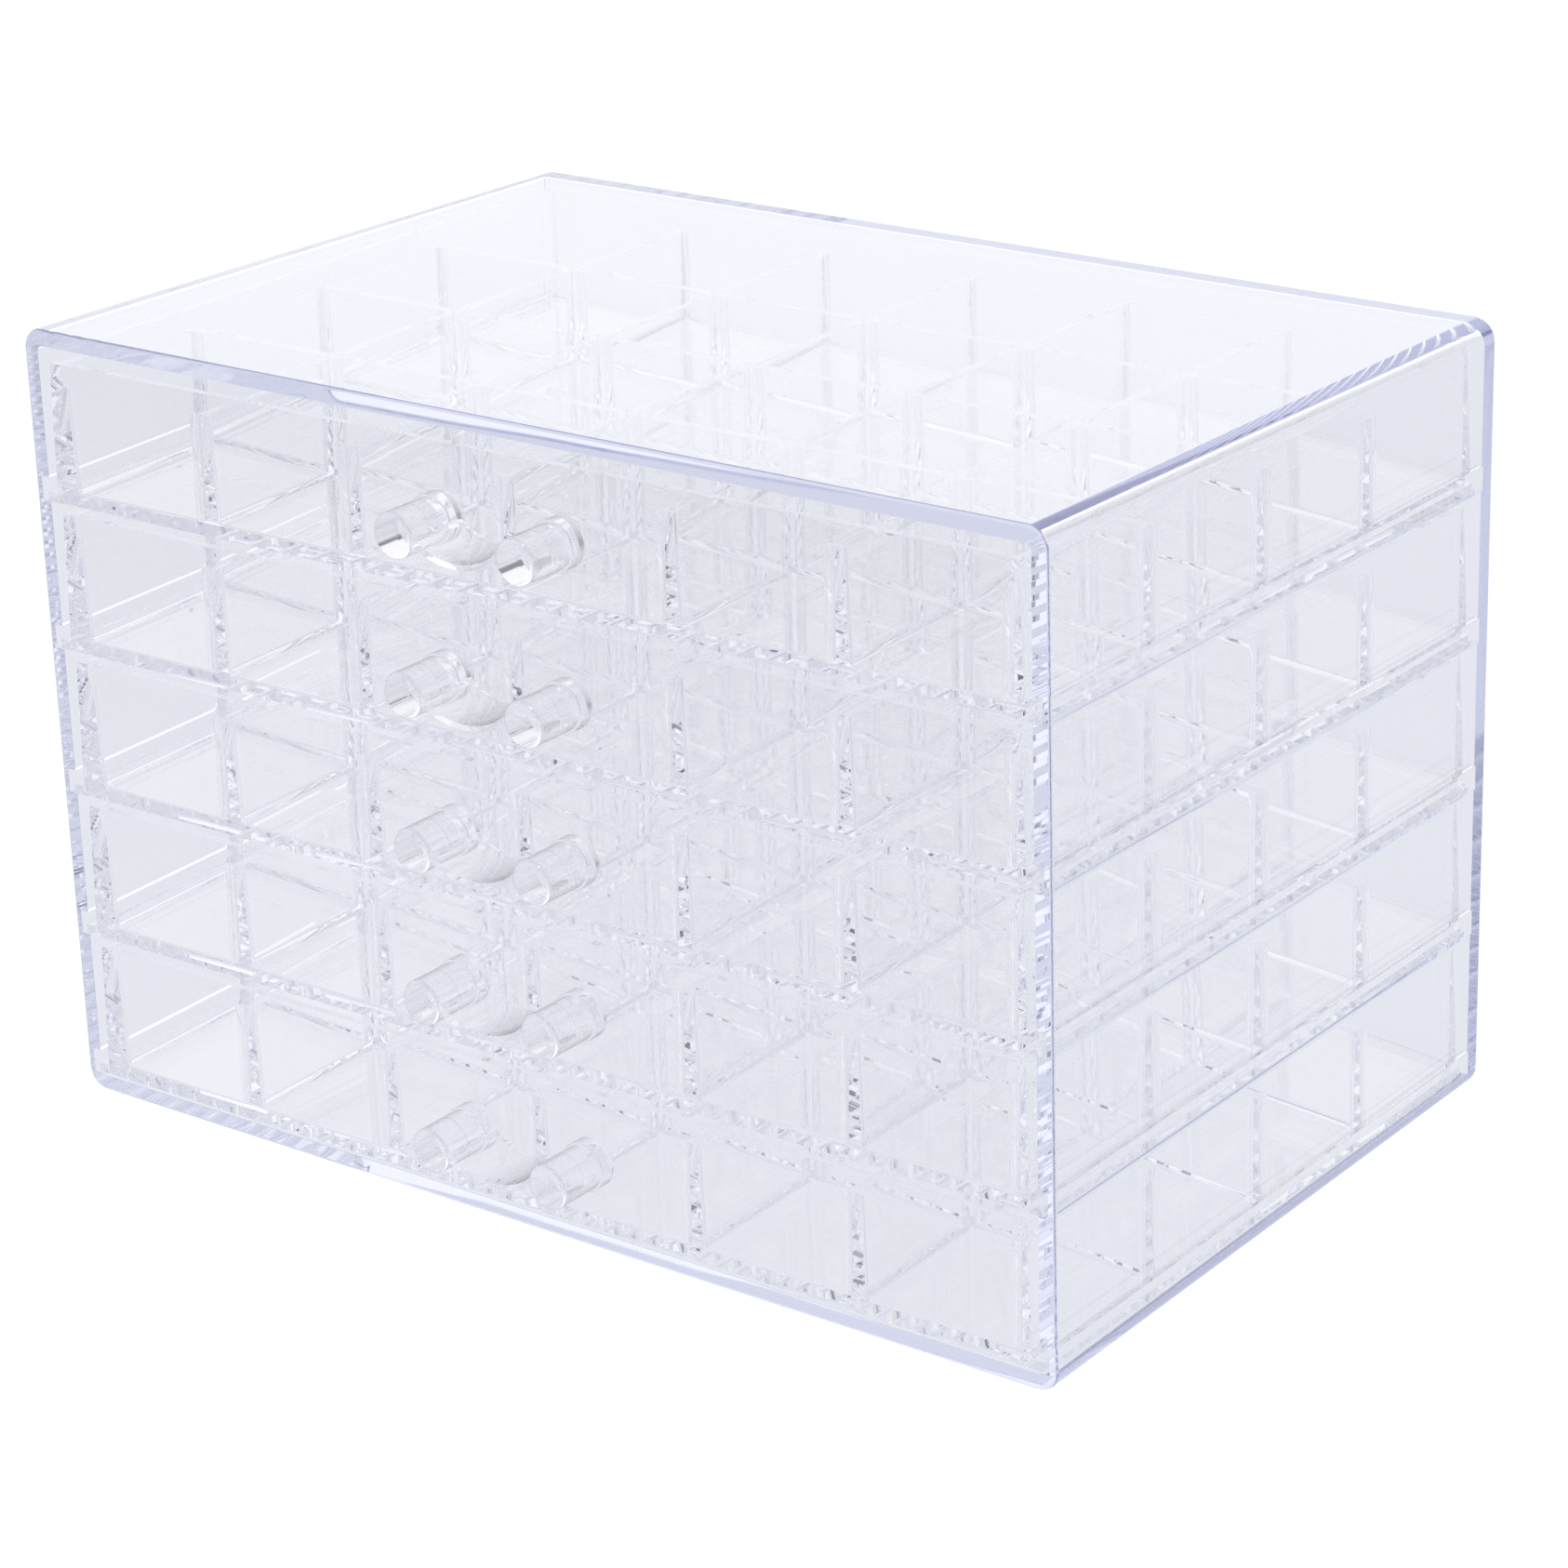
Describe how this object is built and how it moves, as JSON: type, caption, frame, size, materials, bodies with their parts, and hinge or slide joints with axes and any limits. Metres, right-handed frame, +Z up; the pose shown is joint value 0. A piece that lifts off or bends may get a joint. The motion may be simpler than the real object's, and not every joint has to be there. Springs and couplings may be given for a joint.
{
  "type": "nail polish organizer drawers",
  "caption": "Clear moulded desktop organiser for nail-art supplies: an open-fronted box with a stack of drawers, each split into small square compartments and pulled by a twin-peg handle",
  "frame": {"origin": "middle of the whole object's footprint, pulls included, on the surface it stands on", "axes": "+Z up, +X to the right as seen from the front, drawers pull out along -Y"},
  "size_m": [0.235, 0.1654, 0.159],
  "materials": {
    "clear_plastic": "clear injection-moulded polystyrene with a faint violet-blue tint, polished"
  },
  "bodies": {
    "case": {"case": "clear_plastic"},
    "drawer_1": {"drawer_1_floor": "clear_plastic", "drawer_1_front": "clear_plastic", "drawer_1_walls": "clear_plastic", "drawer_1_long_dividers": "clear_plastic", "drawer_1_cross_dividers": "clear_plastic", "drawer_1_pull": "clear_plastic"},
    "drawer_2": {"drawer_2_floor": "clear_plastic", "drawer_2_front": "clear_plastic", "drawer_2_walls": "clear_plastic", "drawer_2_long_dividers": "clear_plastic", "drawer_2_cross_dividers": "clear_plastic", "drawer_2_pull": "clear_plastic"},
    "drawer_3": {"drawer_3_floor": "clear_plastic", "drawer_3_front": "clear_plastic", "drawer_3_walls": "clear_plastic", "drawer_3_long_dividers": "clear_plastic", "drawer_3_cross_dividers": "clear_plastic", "drawer_3_pull": "clear_plastic"},
    "drawer_4": {"drawer_4_floor": "clear_plastic", "drawer_4_front": "clear_plastic", "drawer_4_walls": "clear_plastic", "drawer_4_long_dividers": "clear_plastic", "drawer_4_cross_dividers": "clear_plastic", "drawer_4_pull": "clear_plastic"},
    "drawer_5": {"drawer_5_floor": "clear_plastic", "drawer_5_front": "clear_plastic", "drawer_5_walls": "clear_plastic", "drawer_5_long_dividers": "clear_plastic", "drawer_5_cross_dividers": "clear_plastic", "drawer_5_pull": "clear_plastic"}
  },
  "joints": [
    {"name": "drawer_1_slide", "type": "slide", "parent": "case", "child": "drawer_1", "axis": [0, -1, 0], "range_m": [0, 0.12]},
    {"name": "drawer_2_slide", "type": "slide", "parent": "case", "child": "drawer_2", "axis": [0, -1, 0], "range_m": [0, 0.12]},
    {"name": "drawer_3_slide", "type": "slide", "parent": "case", "child": "drawer_3", "axis": [0, -1, 0], "range_m": [0, 0.12]},
    {"name": "drawer_4_slide", "type": "slide", "parent": "case", "child": "drawer_4", "axis": [0, -1, 0], "range_m": [0, 0.12]},
    {"name": "drawer_5_slide", "type": "slide", "parent": "case", "child": "drawer_5", "axis": [0, -1, 0], "range_m": [0, 0.12]}
  ]
}
